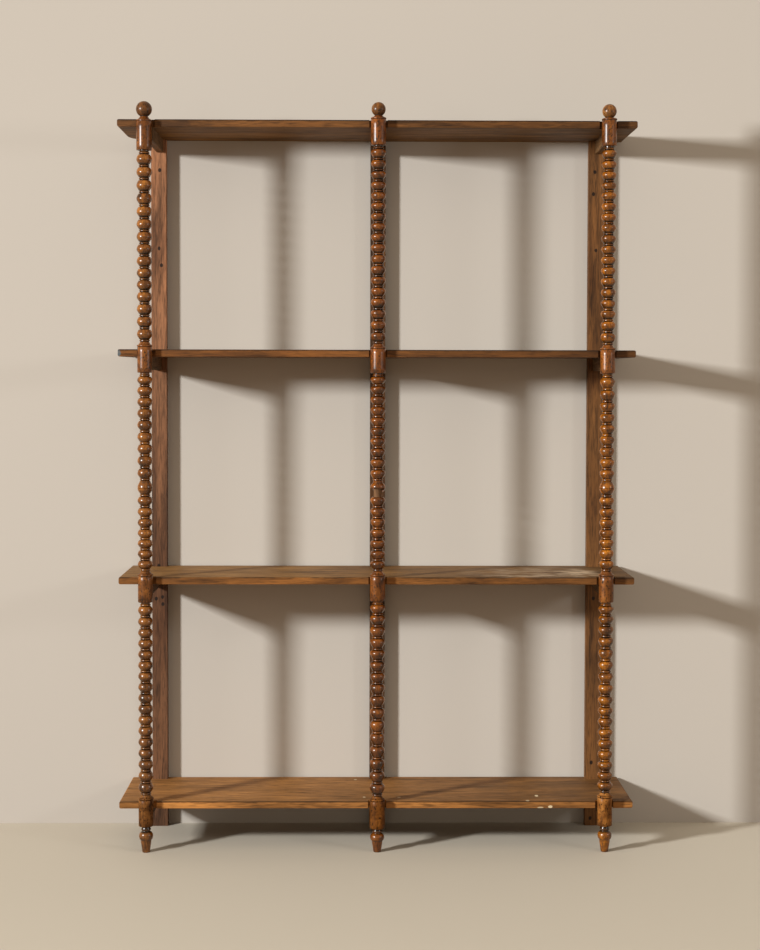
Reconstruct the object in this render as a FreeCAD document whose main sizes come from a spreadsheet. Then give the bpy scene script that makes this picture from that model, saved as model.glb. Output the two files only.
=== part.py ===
import FreeCAD, Part
import os
import Sketcher
from FreeCAD import Placement, Rotation, Vector

# An antique open bookcase: four plank shelves carried on three bobbin-turned
# posts in front and three flat uprights behind.
# Right is +X, the wall side is +Y, up is +Z. The origin is on the floor under
# the middle of the bookcase. Every length is in millimetres.

doc = FreeCAD.newDocument("bookcase")
sheet = doc.addObject("Spreadsheet::Sheet", "sizes")

driving_sizes = [
    # shelves
    ("shelf_depth", 292, "front edge to back edge"),
    ("shelf_thickness", 20.5, "thickness of each plank"),
    ("left_overhang", 76, "left end of the shelves to the left post"),
    ("left_bay", 642, "left post to centre post"),
    ("right_bay", 634, "centre post to right post"),
    ("right_overhang", 80, "right post to the right end of the shelves"),
    ("bottom_shelf_top", 139, "floor to the top face of the bottom shelf"),
    ("lower_tier", 626.5, "bottom shelf to lower shelf, top to top"),
    ("middle_tier", 630.5, "lower shelf to upper shelf, top to top"),
    ("upper_tier", 630.5, "upper shelf to top shelf, top to top"),
    ("shelf_end_round", 5, "rounding of the shelf ends"),
    ("shelf_arris", 1.2, "rounding of the long front edges"),
    ("top_corner_radius", 80, "round back corner at the left of the top shelf"),
    ("post_notch_width", 50, "notch in a shelf's front edge for a post"),
    ("post_notch_gap", 1.5, "room between a post and the back of its notch"),
    ("left_notch_shift", 3, "how far the left notches stand to the right"),
    # uprights
    ("upright_width", 44, "width of the flat uprights"),
    ("upright_thickness", 25, "thickness of the flat uprights"),
    ("upright_arris", 0.8, "rounding of an upright's long edges"),
    ("upright_side_gap", 0.3, "room beside an upright in its notch"),
    ("left_upright_shift", 8, "left upright, to the right of its post"),
    ("centre_upright_shift", 2, "centre upright, to the right of its post"),
    ("right_upright_shift", 3, "right upright, to the right of its post"),
    # bearers
    ("bearer_width", 19, "thickness of a bearer, side to side"),
    ("bearer_height", 37, "height of a bearer"),
    ("bearer_setback", 6, "bearer's front end behind the shelf's front edge"),
    ("bearer_arris", 1, "rounding of a bearer's lower edges"),
    ("tenon_diameter", 9, "round tenon on a bearer's front end"),
    ("tenon_length", 15, "how far the tenon enters the post"),
    ("left_top_bearer_shift", 12, "bearer to the right of its post"),
    ("left_upper_bearer_shift", 6, "bearer to the right of its post"),
    ("right_top_bearer_shift", 8, "bearer to the right of its post"),
    ("right_upper_bearer_shift", 5, "bearer to the right of its post"),
    ("right_lower_bearer_shift", 3, "bearer to the right of its post"),
    # turned posts
    ("overall_height", 2073.5, "floor to the top of the ball finials"),
    ("right_finial_drop", 3, "how much lower the right finial ends"),
    ("post_stand_off", 11, "post axis in front of the shelves' front edge"),
    ("joint_height", 1014, "floor to the joint between the two lengths"),
    ("bead_diameter", 41.5, "largest diameter of the beads"),
    ("neck_diameter", 26, "diameter of the post between beads"),
    ("reel_diameter", 29, "small ring under each bead"),
    ("reel_height", 7, "height of that small ring"),
    ("long_neck", 4, "extra neck under each plain length"),
    ("left_lower_pitch", 31.2, "wanted step from bead to bead, lower bay"),
    ("centre_lower_pitch", 33.1, "wanted step from bead to bead, lower bay"),
    ("right_lower_pitch", 31.2, "wanted step from bead to bead, lower bay"),
    ("under_joint_pitch", 29.4, "wanted step from bead to bead, below the joint"),
    ("left_over_joint_pitch", 31.8, "wanted step from bead to bead, above the joint"),
    ("centre_over_joint_pitch", 28.6, "wanted step from bead to bead, above the joint"),
    ("right_over_joint_pitch", 31.8, "wanted step from bead to bead, above the joint"),
    ("left_upper_pitch", 34.4, "wanted step from bead to bead, upper bay"),
    ("centre_upper_pitch", 29.5, "wanted step from bead to bead, upper bay"),
    ("right_upper_pitch", 29.3, "wanted step from bead to bead, upper bay"),
    ("plain_diameter", 41, "plain length that stands beside a shelf"),
    ("centre_plain_diameter", 42, "the same on the centre post"),
    ("left_top_plain_diameter", 42.5, "the same at the left of the top shelf"),
    ("plain_arris", 1.5, "rounding at the foot of a plain length"),
    ("ring_diameter", 43, "ring on top of a plain length"),
    ("ring_height", 5, "height of that ring"),
    ("ring_swell", 1.2, "roundness of the ring's edge"),
    ("ring_groove", 1.2, "groove under the ring"),
    ("flare_height", 8, "slope from the ring up to the neck"),
    ("left_bottom_rise", 9, "top of the plain length above the bottom shelf"),
    ("centre_bottom_rise", 5, "top of the plain length above the bottom shelf"),
    ("right_bottom_rise", 14, "top of the plain length above the bottom shelf"),
    ("left_lower_rise", 5.5, "top of the plain length above the lower shelf"),
    ("centre_lower_rise", 5.5, "top of the plain length above the lower shelf"),
    ("right_lower_rise", 5.5, "top of the plain length above the lower shelf"),
    ("left_upper_rise", 7, "top of the plain length above the upper shelf"),
    ("centre_upper_rise", 3, "top of the plain length above the upper shelf"),
    ("right_upper_rise", 1, "top of the plain length above the upper shelf"),
    ("left_top_rise", -8, "top of the plain length above the top shelf"),
    ("centre_top_rise", 0, "top of the plain length above the top shelf"),
    ("right_top_rise", -0.5, "top of the plain length above the top shelf"),
    ("left_bottom_plain_length", 75, "plain length at the bottom shelf"),
    ("centre_bottom_plain_length", 78, "plain length at the bottom shelf"),
    ("right_bottom_plain_length", 80, "plain length at the bottom shelf"),
    ("left_lower_plain_length", 74, "plain length at the lower shelf"),
    ("centre_lower_plain_length", 70, "plain length at the lower shelf"),
    ("right_lower_plain_length", 73, "plain length at the lower shelf"),
    ("left_upper_plain_length", 72, "plain length at the upper shelf"),
    ("centre_upper_plain_length", 68, "plain length at the upper shelf"),
    ("right_upper_plain_length", 66, "plain length at the upper shelf"),
    ("left_top_plain_length", 79, "plain length at the top shelf"),
    ("centre_top_plain_length", 71, "plain length at the top shelf"),
    ("right_top_plain_length", 71, "plain length at the top shelf"),
    ("upper_half_bead", 20, "half bead above the joint"),
    ("lower_half_bead", 17, "half bead below the joint"),
    ("bare_core_diameter", 23, "core of the centre post below the joint"),
    ("joint_tenon_diameter", 15, "tenon that joins the two lengths"),
    ("joint_tenon_length", 40, "height of that tenon"),
    ("joint_gap", 0.2, "room around a tenon in its hole"),
    ("left_ball", 44, "ball finial"),
    ("centre_ball", 39, "ball finial"),
    ("right_ball", 39.5, "ball finial"),
    ("ball_neck_diameter", 22, "neck under a ball finial"),
    ("left_top_flare", 8, "slope above the ring under the finial"),
    ("centre_top_flare", 5, "slope above the ring under the finial"),
    ("right_top_flare", 3, "slope above the ring under the finial"),
    ("foot_tip_diameter", 21, "foot where it meets the floor"),
    ("foot_tip_round", 2, "rounding of the foot's lower edge"),
    ("foot_ankle_diameter", 29, "narrow part of the foot"),
    ("foot_belly_diameter", 39.5, "widest part of the foot"),
    ("foot_neck_diameter", 22, "neck above the foot's belly"),
    ("foot_reel_diameter", 27, "small ring above the foot's belly"),
    # nails
    ("nail_shank", 3, "diameter of a nail"),
    ("nail_head", 7, "diameter of a nail's head"),
    ("nail_head_height", 1.5, "height of a nail's head"),
    ("nail_point", 5, "height of a nail's point"),
    ("nail_sink", 0.5, "how far a head lies below the surface"),
    ("nail_hole_gap", 0.1, "room around a nail"),
    ("shelf_nail_length", 44, "shelf nails, under the head"),
    ("upright_nail_length", 62, "upright nails, under the head"),
    ("upright_nail_spread", 18, "height between the two nails of a bearer"),
    # fitting and cutting
    ("bearing_gap", 0.3, "room between a bearer and its post"),
    ("overrun", 2, "how far a cut runs past a surface"),
]

# Heights on the foot, as shares of the foot's height, from the floor up.
ankle_share = 0.35
belly_share = 0.62
belly_top_share = 0.78
foot_reel_low_share = 0.81
foot_reel_top_share = 0.96
# Roundness of a curve, as a share of the step in radius that it makes.
round_share = 0.22
hollow_share = -0.12
# Places of the two nails along a bearer, as shares of its length.
nail_place_shares = (0.2, 0.72)
# How much of a bearer's sideways shift its tenon follows.
tenon_shift_share = 0.66
# Two places nearer than this are one place, in millimetres.
same_place = 1e-4


class Size:
    """A length, with the formula that keeps it tied to the sheet."""

    def __init__(self, number, formula):
        self.number = number
        self.formula = formula

    def joined(self, other, sign, number):
        other_formula = other.formula if isinstance(other, Size) else repr(other)
        return Size(number, "(" + self.formula + " " + sign + " " + other_formula + ")")

    def __add__(self, other):
        return self.joined(other, "+", self.number + plain(other))

    def __sub__(self, other):
        return self.joined(other, "-", self.number - plain(other))

    def __mul__(self, other):
        return self.joined(other, "*", self.number * plain(other))

    def __truediv__(self, other):
        return self.joined(other, "/", self.number / plain(other))

    def __neg__(self):
        return Size(-self.number, "(-" + self.formula + ")")


def plain(value):
    return value.number if isinstance(value, Size) else value


def by_number(length):
    return length.number


def root(square):
    return Size(square.number ** 0.5, "sqrt(" + square.formula + ")")


def nearest_whole(ratio):
    return Size(float(max(1, round(ratio.number))), "max(1; round(" + ratio.formula + "))")


zero = Size(0.0, "0")

for row, (alias, number, note) in enumerate(driving_sizes, start=1):
    sheet.set("A" + str(row), alias)
    sheet.set("B" + str(row), str(number))
    sheet.set("C" + str(row), note)
    sheet.setAlias("B" + str(row), alias)
doc.recompute()


def size(alias):
    return Size(float(sheet.get(alias)), "sizes." + alias)


# ---- places worked out from the sizes ----

shelf_length = size("left_overhang") + size("left_bay") + size("right_bay") + size("right_overhang")
left_end = -(shelf_length / 2)
post_x = {"left": left_end + size("left_overhang")}
post_x["centre"] = post_x["left"] + size("left_bay")
post_x["right"] = post_x["centre"] + size("right_bay")
lines = ("left", "centre", "right")

ball = {line: size(line + "_ball") for line in lines}
front_parts = [ball[line] / 2 for line in lines] + [size("ring_diameter") / 2]
front_reach = max(front_parts, key=by_number)
total_depth = front_reach + size("post_stand_off") + size("shelf_depth")
post_y = front_reach - total_depth / 2
shelf_front = post_y + size("post_stand_off")
upright_front = shelf_front + size("shelf_depth") - size("upright_thickness")

levels = ("bottom", "lower", "upper", "top")
shelf_top = {"bottom": size("bottom_shelf_top")}
shelf_top["lower"] = shelf_top["bottom"] + size("lower_tier")
shelf_top["upper"] = shelf_top["lower"] + size("middle_tier")
shelf_top["top"] = shelf_top["upper"] + size("upper_tier")

plain_top = {}
plain_length = {}
plain_diameter = {}
for line in lines:
    for level in levels:
        plain_top[line, level] = shelf_top[level] + size(line + "_" + level + "_rise")
        plain_length[line, level] = size(line + "_" + level + "_plain_length")
        plain_diameter[line, level] = size("plain_diameter")
for level in levels:
    plain_diameter["centre", level] = size("centre_plain_diameter")
plain_diameter["left", "top"] = size("left_top_plain_diameter")

finial_top = {line: size("overall_height") for line in lines}
finial_top["right"] = size("overall_height") - size("right_finial_drop")

bearer_shift = {(line, level): zero for line in lines for level in levels}
bearer_shift["left", "top"] = size("left_top_bearer_shift")
bearer_shift["left", "upper"] = size("left_upper_bearer_shift")
bearer_shift["right", "top"] = size("right_top_bearer_shift")
bearer_shift["right", "upper"] = size("right_upper_bearer_shift")
bearer_shift["right", "lower"] = size("right_lower_bearer_shift")
bearer_shift["right", "bottom"] = size("right_lower_bearer_shift")

notch_shift = {"left": size("left_notch_shift"), "centre": zero, "right": zero}
upright_x = {line: post_x[line] + size(line + "_upright_shift") for line in lines}

plain_radius = size("plain_diameter") / 2
neck_radius = size("neck_diameter") / 2
bead_radius = size("bead_diameter") / 2
post_notch_depth = plain_radius - size("post_stand_off") + size("post_notch_gap")
bearer_start = size("post_stand_off") + size("bearer_setback")
bearer_end = size("post_stand_off") + size("shelf_depth") - size("upright_thickness")
bearer_run = bearer_end - bearer_start
nail_y = [bearer_start + bearer_run * share for share in nail_place_shares]
nail_hole_radius = size("nail_shank") / 2 + size("nail_hole_gap")
nail_head_hole_radius = size("nail_head") / 2 + size("nail_hole_gap")
nail_head_room = size("nail_head_height") + size("nail_sink")


# ---- drawing helpers ----

def bind(thing, prop, length):
    thing.setExpression(prop, length.formula)


def new_body(label, x, y, z):
    body = doc.addObject("PartDesign::Body", label)
    body.Label = label
    body.Placement = Placement(Vector(x.number, y.number, z.number), Rotation())
    bind(body, "Placement.Base.x", x)
    bind(body, "Placement.Base.y", y)
    bind(body, "Placement.Base.z", z)
    return body


def new_sketch(body, name, plane_role, along=zero, out=zero):
    """A sketch on an origin plane, moved up the plane and out of it."""
    sketch = body.newObject("Sketcher::SketchObject", body.Label + "_" + name)
    planes = [each for each in body.Origin.OriginFeatures if each.Role == plane_role]
    sketch.AttachmentSupport = [(planes[0], "")]
    sketch.MapMode = "FlatFace"
    sketch.AttachmentOffset = Placement(Vector(0, along.number, out.number), Rotation())
    bind(sketch, "AttachmentOffset.Base.y", along)
    bind(sketch, "AttachmentOffset.Base.z", out)
    return sketch


def hold_point(sketch, element, end, x, y):
    """Ties a point to its distances from the sketch's origin."""
    for value, kind, axis in ((x, "DistanceX", -2), (y, "DistanceY", -1)):
        if abs(value.number) < same_place:
            sketch.addConstraint(Sketcher.Constraint("PointOnObject", element, end, axis))
        elif value.number > 0:
            index = sketch.addConstraint(
                Sketcher.Constraint(kind, -1, 1, element, end, value.number))
            bind(sketch, "Constraints[" + str(index) + "]", value)
        else:
            index = sketch.addConstraint(
                Sketcher.Constraint(kind, element, end, -1, 1, -value.number))
            bind(sketch, "Constraints[" + str(index) + "]", -value)


def draw_outline(sketch, corners):
    """A closed outline. A corner is (x, y) or (x, y, swell), where swell is how
    far the side that ends there bows out of the straight line, to its right."""
    count = len(corners)
    ends = []
    for index in range(count):
        here = corners[index]
        before = corners[index - 1]
        start = Vector(before[0].number, before[1].number, 0)
        finish = Vector(here[0].number, here[1].number, 0)
        if len(here) == 3:
            chord = finish - start
            side = Vector(chord.y, -chord.x, 0).normalize()
            middle = (start + finish) / 2 + side * here[2].number
            bulges = here[2].number > 0
            curve = Part.Arc(start, middle, finish) if bulges else Part.Arc(finish, middle, start)
            element = sketch.addGeometry(curve, False)
            step_x = here[0] - before[0]
            step_y = here[1] - before[1]
            square = step_x * step_x + step_y * step_y
            swell = here[2] if bulges else -here[2]
            radius = (square / 4 + swell * swell) / (swell * 2)
            index_of = sketch.addConstraint(Sketcher.Constraint("Radius", element, radius.number))
            bind(sketch, "Constraints[" + str(index_of) + "]", radius)
            ends.append((element, 1, 2) if bulges else (element, 2, 1))
        else:
            element = sketch.addGeometry(Part.LineSegment(start, finish), False)
            ends.append((element, 1, 2))
    for index in range(count):
        element, first, last = ends[index]
        following = ends[(index + 1) % count]
        sketch.addConstraint(
            Sketcher.Constraint("Coincident", element, last, following[0], following[1]))
        hold_point(sketch, element, last, corners[index][0], corners[index][1])


def draw_rectangle(sketch, x, y, width, height):
    draw_outline(sketch, [(x, y), (x + width, y), (x + width, y + height), (x, y + height)])


def draw_circle(sketch, x, y, radius):
    circle = Part.Circle(Vector(x.number, y.number, 0), Vector(0, 0, 1), radius.number)
    element = sketch.addGeometry(circle, False)
    index = sketch.addConstraint(Sketcher.Constraint("Radius", element, radius.number))
    bind(sketch, "Constraints[" + str(index) + "]", radius)
    hold_point(sketch, element, 3, x, y)


def pad(body, name, sketch, length):
    feature = body.newObject("PartDesign::Pad", body.Label + "_" + name)
    feature.Profile = (sketch, [""])
    bind(feature, "Length", length)
    sketch.Visibility = False
    return feature


def cut_through(body, name, sketch):
    """Cuts both ways from the sketch, right through the piece."""
    feature = body.newObject("PartDesign::Pocket", body.Label + "_" + name)
    feature.Profile = (sketch, [""])
    feature.Type = "ThroughAll"
    feature.Midplane = True
    sketch.Visibility = False
    return feature


def cut_deep(body, name, sketch, length):
    feature = body.newObject("PartDesign::Pocket", body.Label + "_" + name)
    feature.Profile = (sketch, [""])
    bind(feature, "Length", length)
    sketch.Visibility = False
    return feature


def round_edges(body, name, wanted, radius):
    """Rounds those edges of the piece, as it is so far, that are wanted."""
    doc.recompute()
    base = body.Tip
    names = ["Edge" + str(number) for number, edge in enumerate(base.Shape.Edges, start=1)
             if wanted(edge)]
    feature = body.newObject("PartDesign::Fillet", body.Label + "_" + name)
    feature.Base = (base, names)
    bind(feature, "Radius", radius)
    return feature


def near(value, length):
    return abs(value - plain(length)) < same_place


def runs_along(edge, axis):
    direction = edge.Vertexes[-1].Point - edge.Vertexes[0].Point
    return direction.cross(axis).Length < same_place and direction.Length > same_place


# ---- shelves ----

def make_shelf(level):
    body = new_body("shelf_" + level, left_end, shelf_front,
                    shelf_top[level] - size("shelf_thickness"))
    depth = size("shelf_depth")
    thickness = size("shelf_thickness")

    board = new_sketch(body, "board_outline", "XY_Plane")
    draw_rectangle(board, zero, zero, shelf_length, depth)
    pad(body, "board", board, thickness)

    if level == "top":
        round_edges(body, "round_corner",
                    lambda edge: runs_along(edge, Vector(0, 0, 1))
                    and near(edge.CenterOfMass.x, 0) and near(edge.CenterOfMass.y, depth),
                    size("top_corner_radius"))

    overrun = size("overrun")
    notch_width = size("post_notch_width")
    front = new_sketch(body, "post_notch_outline", "XY_Plane")
    back = new_sketch(body, "upright_notch_outline", "XY_Plane")
    upright_notch = size("upright_width") + size("upright_side_gap") * 2
    for line in lines:
        notch_left = post_x[line] - left_end + notch_shift[line] - notch_width / 2
        draw_rectangle(front, notch_left, -overrun, notch_width, overrun + post_notch_depth)
        upright_left = upright_x[line] - left_end - upright_notch / 2
        draw_rectangle(back, upright_left, depth - size("upright_thickness"),
                       upright_notch, size("upright_thickness") + overrun)
    cut_through(body, "post_notches", front)
    cut_through(body, "upright_notches", back)

    def at_end(edge):
        middle = edge.CenterOfMass
        on_face = near(middle.z, 0) or near(middle.z, thickness)
        at_side = near(middle.x, 0) or near(middle.x, shelf_length)
        return on_face and at_side and runs_along(edge, Vector(0, 1, 0))

    round_edges(body, "round_ends", at_end, size("shelf_end_round"))

    def at_front(edge):
        middle = edge.CenterOfMass
        on_face = near(middle.z, 0) or near(middle.z, thickness)
        return on_face and near(middle.y, 0) and runs_along(edge, Vector(1, 0, 0))

    round_edges(body, "round_front", at_front, size("shelf_arris"))

    shanks = new_sketch(body, "nail_hole_outline", "XY_Plane")
    heads = new_sketch(body, "nail_head_outline", "XY_Plane", out=thickness)
    for line in lines:
        nail_x = post_x[line] - left_end + bearer_shift[line, level]
        for place in nail_y:
            draw_circle(shanks, nail_x, place - size("post_stand_off"), nail_hole_radius)
            draw_circle(heads, nail_x, place - size("post_stand_off"), nail_head_hole_radius)
    cut_through(body, "nail_holes", shanks)
    cut_deep(body, "nail_head_holes", heads, nail_head_room)
    return body


# ---- flat uprights ----

def bearer_middle(level):
    return shelf_top[level] - size("shelf_thickness") - size("bearer_height") / 2


def make_upright(line):
    width = size("upright_width")
    body = new_body("upright_" + line, upright_x[line] - width / 2, upright_front, zero)
    board = new_sketch(body, "board_outline", "XY_Plane")
    draw_rectangle(board, zero, zero, width, size("upright_thickness"))
    pad(body, "board", board, shelf_top["top"])
    round_edges(body, "round_edges", lambda edge: runs_along(edge, Vector(0, 0, 1)),
                size("upright_arris"))

    # The nails enter from behind, one above the other at each bearer.
    shanks = new_sketch(body, "nail_hole_outline", "XZ_Plane")
    heads = new_sketch(body, "nail_head_outline", "XZ_Plane",
                       out=nail_head_room - size("upright_thickness"))
    for level in levels:
        nail_x = post_x[line] + bearer_shift[line, level] - upright_x[line] + width / 2
        for side in (-1, 1):
            nail_z = bearer_middle(level) + size("upright_nail_spread") / 2 * side
            draw_circle(shanks, nail_x, nail_z, nail_hole_radius)
            draw_circle(heads, nail_x, nail_z, nail_head_hole_radius)
    cut_through(body, "nail_holes", shanks)
    cut_deep(body, "nail_head_holes", heads, nail_head_room + size("overrun"))
    return body


# ---- bearers, from each post back to its upright ----

def make_bearer(line, level):
    height = size("bearer_height")
    width = size("bearer_width")
    shift = bearer_shift[line, level]
    body = new_body("bearer_" + line + "_" + level, post_x[line], post_y,
                    bearer_middle(level) - height / 2)
    block = new_sketch(body, "block_outline", "XY_Plane")
    draw_rectangle(block, shift - width / 2, bearer_start, width, bearer_run)
    pad(body, "block", block, height)

    round_edges(body, "round_lower_edges",
                lambda edge: near(edge.CenterOfMass.z, 0) and runs_along(edge, Vector(0, 1, 0)),
                size("bearer_arris"))

    # The front end is hollowed to fit round the post.
    seat_radius = plain_diameter[line, level] / 2
    hollow = new_sketch(body, "hollow_outline", "XY_Plane")
    draw_circle(hollow, zero, zero, seat_radius + size("bearing_gap"))
    cut_through(body, "hollow_end", hollow)

    tenon_root = seat_radius + size("tenon_diameter")
    peg = new_sketch(body, "tenon_outline", "XZ_Plane", out=-tenon_root)
    draw_circle(peg, shift * tenon_shift_share, height / 2, size("tenon_diameter") / 2)
    pad(body, "tenon", peg, size("tenon_diameter") + size("tenon_length"))

    shelf_holes = new_sketch(body, "shelf_nail_outline", "XY_Plane", out=height)
    for place in nail_y:
        draw_circle(shelf_holes, shift, place, nail_hole_radius)
    shelf_nail_depth = size("shelf_nail_length") + nail_head_room - size("shelf_thickness")
    cut_deep(body, "shelf_nail_holes", shelf_holes, shelf_nail_depth)

    # The holes for the upright's nails run forward from the back end.
    upright_nail_depth = size("upright_nail_length") + nail_head_room - size("upright_thickness")
    end_holes = new_sketch(body, "upright_nail_outline", "XZ_Plane",
                           out=upright_nail_depth - bearer_end)
    for side in (-1, 1):
        draw_circle(end_holes, shift, height / 2 + size("upright_nail_spread") / 2 * side,
                    nail_hole_radius)
    cut_deep(body, "upright_nail_holes", end_holes, upright_nail_depth + size("overrun"))
    return body


# ---- turned posts, each in two lengths ----

def turn(body, name, base, stations):
    """Turns an outline that climbs from base. A station is (radius, height) or
    (radius, height, swell), with heights measured from base."""
    outline = new_sketch(body, name + "_outline", "XZ_Plane", along=base)
    corners = [(zero, stations[0][1])] + stations
    if stations[-1][0] is not zero:
        corners.append((zero, stations[-1][1]))
    draw_outline(outline, corners)
    feature = body.newObject("PartDesign::Revolution", body.Label + "_" + name)
    feature.Profile = (outline, [""])
    feature.ReferenceAxis = (outline, ["V_Axis"])
    feature.Angle = 360
    feature.Refine = False
    outline.Visibility = False
    return feature


def turn_reel(body, name, base):
    """The small ring between two beads."""
    swell = (size("reel_diameter") - size("neck_diameter")) / 2
    return turn(body, name, base, [(neck_radius, zero), (neck_radius, size("reel_height"), swell)])


def turn_beads(body, name, low, high, pitch_alias, top_neck):
    """A run of equal beads between two heights, with a reel under and over each."""
    turn_reel(body, name + "_first_reel", low)
    first = low + size("reel_height")
    run = high - first - top_neck
    count = nearest_whole(run / size(pitch_alias))
    pitch = run / count
    bead_height = pitch - size("reel_height")
    bead = turn(body, name + "_bead", first, [
        (neck_radius, zero),
        (neck_radius, bead_height, bead_radius - neck_radius),
    ])
    reel = turn_reel(body, name + "_reel", first + bead_height)
    pattern = body.newObject("PartDesign::LinearPattern", body.Label + "_" + name + "_beads")
    pattern.Originals = [bead, reel]
    axes = [each for each in body.Origin.OriginFeatures if each.Role == "Z_Axis"]
    pattern.Direction = (axes[0], [""])
    pattern.Mode = "Extent"
    pattern.Refine = False
    bind(pattern, "Length", pitch * (count - 1))
    bind(pattern, "Occurrences", count)
    body.Tip = pattern
    if top_neck is not zero:
        turn(body, name + "_neck", high - top_neck, [(neck_radius, zero), (neck_radius, top_neck)])


def turn_plain_length(body, line, level, base, flare_height, top_radius):
    """The plain length beside a shelf, with the ring and slope above it."""
    radius = plain_diameter[line, level] / 2
    length = plain_length[line, level]
    arris = size("plain_arris")
    ring_radius = size("ring_diameter") / 2
    groove = size("ring_groove")
    ring_low = length - groove
    ring_top = length + size("ring_height")
    flare_top = ring_top + flare_height
    turn(body, level + "_plain", plain_top[line, level] - length - base, [
        (radius - arris, zero),
        (radius, arris, arris * round_share),
        (radius, ring_low),
        (radius - groove, length),
        (ring_radius - size("ring_swell"), length),
        (ring_radius - size("ring_swell"), ring_top, size("ring_swell")),
        (top_radius, flare_top, (ring_radius - top_radius) * hollow_share),
    ])


def bore_bearer_holes(body, line, those_levels, base):
    """Round holes for the bearers' tenons, bored into the back of the post."""
    for level in those_levels:
        seat_radius = plain_diameter[line, level] / 2
        depth = size("tenon_length") + size("joint_gap")
        hole = new_sketch(body, level + "_hole_outline", "XZ_Plane", out=depth - seat_radius)
        draw_circle(hole, bearer_shift[line, level] * tenon_shift_share,
                    bearer_middle(level) - base, size("tenon_diameter") / 2 + size("joint_gap"))
        cut_deep(body, level + "_hole", hole, depth + size("overrun"))


def bay_low(line, level):
    return plain_top[line, level] + size("ring_height") + size("flare_height")


def bay_high(line, level):
    return plain_top[line, level] - plain_length[line, level]


def make_lower_length(line):
    """Foot, bottom shelf, lower bay, lower shelf and beads up to the joint."""
    body = new_body("post_" + line + "_lower", post_x[line], post_y, zero)
    joint = size("joint_height")
    foot_height = bay_high(line, "bottom")
    tip = size("foot_tip_diameter") / 2
    tip_round = size("foot_tip_round")
    ankle = size("foot_ankle_diameter") / 2
    belly = size("foot_belly_diameter") / 2
    neck = size("foot_neck_diameter") / 2
    reel = size("foot_reel_diameter") / 2
    turn(body, "foot", zero, [
        (tip - tip_round, zero),
        (tip, tip_round, tip_round * round_share),
        (ankle, foot_height * ankle_share, (ankle - tip) * hollow_share),
        (belly, foot_height * belly_share, (belly - ankle) * hollow_share),
        (neck, foot_height * belly_top_share, (belly - neck) * round_share),
        (neck, foot_height * foot_reel_low_share),
        (neck, foot_height * foot_reel_top_share, reel - neck),
        (neck, foot_height),
    ])
    turn_plain_length(body, line, "bottom", zero, size("flare_height"), neck_radius)
    turn_beads(body, "lower_bay", bay_low(line, "bottom"), bay_high(line, "lower"),
               line + "_lower_pitch", size("long_neck"))
    turn_plain_length(body, line, "lower", zero, size("flare_height"), neck_radius)
    half_bead = size("lower_half_bead")
    turn_beads(body, "under_joint", bay_low(line, "lower"), joint - half_bead,
               "under_joint_pitch", zero)

    if line == "centre":
        # This half bead has broken off, which leaves the core bare.
        core_radius = size("bare_core_diameter") / 2
        turn(body, "bare_core", joint - half_bead,
             [(core_radius, zero), (core_radius, half_bead)])
    else:
        turn(body, "half_bead", joint - half_bead, [
            (neck_radius, zero),
            (bead_radius, half_bead, (bead_radius - neck_radius) * round_share),
        ])
    tenon_radius = size("joint_tenon_diameter") / 2
    turn(body, "tenon", joint - size("overrun"), [
        (tenon_radius, zero),
        (tenon_radius, size("joint_tenon_length") + size("overrun")),
    ])
    bore_bearer_holes(body, line, ("bottom", "lower"), zero)
    return body


def make_upper_length(line):
    """Beads above the joint, upper shelf, upper bay, top shelf and finial."""
    joint = size("joint_height")
    body = new_body("post_" + line + "_upper", post_x[line], post_y, joint)
    half_bead = size("upper_half_bead")
    turn(body, "half_bead", zero, [
        (bead_radius, zero),
        (neck_radius, half_bead, (bead_radius - neck_radius) * round_share),
    ])
    turn_beads(body, "over_joint", half_bead, bay_high(line, "upper") - joint,
               line + "_over_joint_pitch", size("long_neck"))
    turn_plain_length(body, line, "upper", joint, size("flare_height"), neck_radius)
    turn_beads(body, "upper_bay", bay_low(line, "upper") - joint, bay_high(line, "top") - joint,
               line + "_upper_pitch", size("long_neck"))
    ball_neck = size("ball_neck_diameter") / 2
    turn_plain_length(body, line, "top", joint, size(line + "_top_flare"), ball_neck)

    # A ball on a short neck ends the post.
    neck_low = plain_top[line, "top"] + size("ring_height") + size(line + "_top_flare") - joint
    ball_radius = ball[line] / 2
    middle = finial_top[line] - ball_radius - joint
    drop = root(ball_radius * ball_radius - ball_neck * ball_neck)
    chord_square = ball_neck * ball_neck + (drop + ball_radius) * (drop + ball_radius)
    swell = ball_radius - root(ball_radius * ball_radius - chord_square / 4)
    turn(body, "finial", zero, [
        (ball_neck, neck_low),
        (ball_neck, middle - drop),
        (zero, middle + ball_radius, swell),
    ])

    socket = new_sketch(body, "socket_outline", "XY_Plane")
    draw_circle(socket, zero, zero, size("joint_tenon_diameter") / 2 + size("joint_gap"))
    hole = cut_deep(body, "socket", socket, size("joint_tenon_length") + size("joint_gap"))
    hole.Reversed = True
    bore_bearer_holes(body, line, ("upper", "top"), joint)
    return body


# ---- nails ----

def make_nail(length):
    """A nail that hangs below the origin, with its head's top face there."""
    head_height = size("nail_head_height").number
    shank_radius = size("nail_shank").number / 2
    point = size("nail_point").number
    down = Vector(0, 0, -1)
    head = Part.makeCylinder(size("nail_head").number / 2, head_height, Vector(0, 0, 0), down)
    shank = Part.makeCylinder(shank_radius, length.number - point,
                              Vector(0, 0, -head_height), down)
    tip = Part.makeCone(shank_radius, 0, point,
                        Vector(0, 0, point - head_height - length.number), down)
    return head.fuse([shank, tip]).removeSplitter()


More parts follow.
